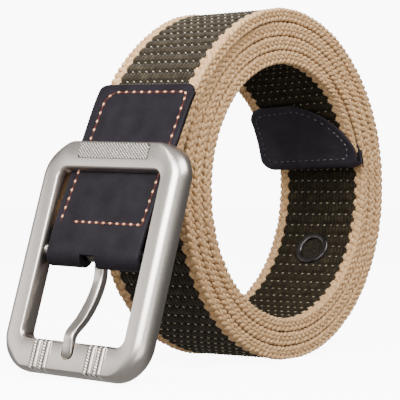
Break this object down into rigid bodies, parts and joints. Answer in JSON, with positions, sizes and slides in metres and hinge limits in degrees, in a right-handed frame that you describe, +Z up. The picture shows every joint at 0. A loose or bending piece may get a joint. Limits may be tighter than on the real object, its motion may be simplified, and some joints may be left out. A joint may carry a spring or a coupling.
{
  "type": "canvas belt",
  "caption": "Woven canvas belt rolled into a standing coil, with stripes along its edges, leather ends and a rectangular cast buckle with a curved tongue.",
  "frame": {"origin": "under the middle of the whole belt, on the floor it stands on", "axes": "+Z up, +Y along the coil's axis, +X from the buckle toward the coil"},
  "size_m": [0.1738, 0.0644, 0.1296],
  "materials": {
    "webbing": "coarse woven webbing, beige edges and a dark olive middle",
    "tip_leather": "smooth, near black",
    "buckle_leather": "fine grain, dark blue-brown",
    "eyelet_metal": "dark gunmetal",
    "buckle_metal": "satin nickel over a casting"
  },
  "bodies": {
    "belt": {"strap": "webbing", "tip_leather": "tip_leather", "buckle_leather": "buckle_leather", "eyelet": "eyelet_metal"},
    "buckle_frame": {"buckle_frame": "buckle_metal"},
    "tongue": {"tongue": "buckle_metal"}
  },
  "joints": [
    {"name": "buckle_hinge", "type": "hinge", "parent": "belt", "child": "buckle_frame", "pos_m": [-0.07064, -0.00005, 0.04137], "axis": [-0.0106, -0.9994, -0.0333], "range_deg": [0, 70]},
    {"name": "tongue_hinge", "type": "hinge", "parent": "buckle_frame", "child": "tongue", "pos_m": [-0.07064, -0.00005, 0.04137], "axis": [0.0106, 0.9994, 0.0333], "range_deg": [0, 90]}
  ]
}
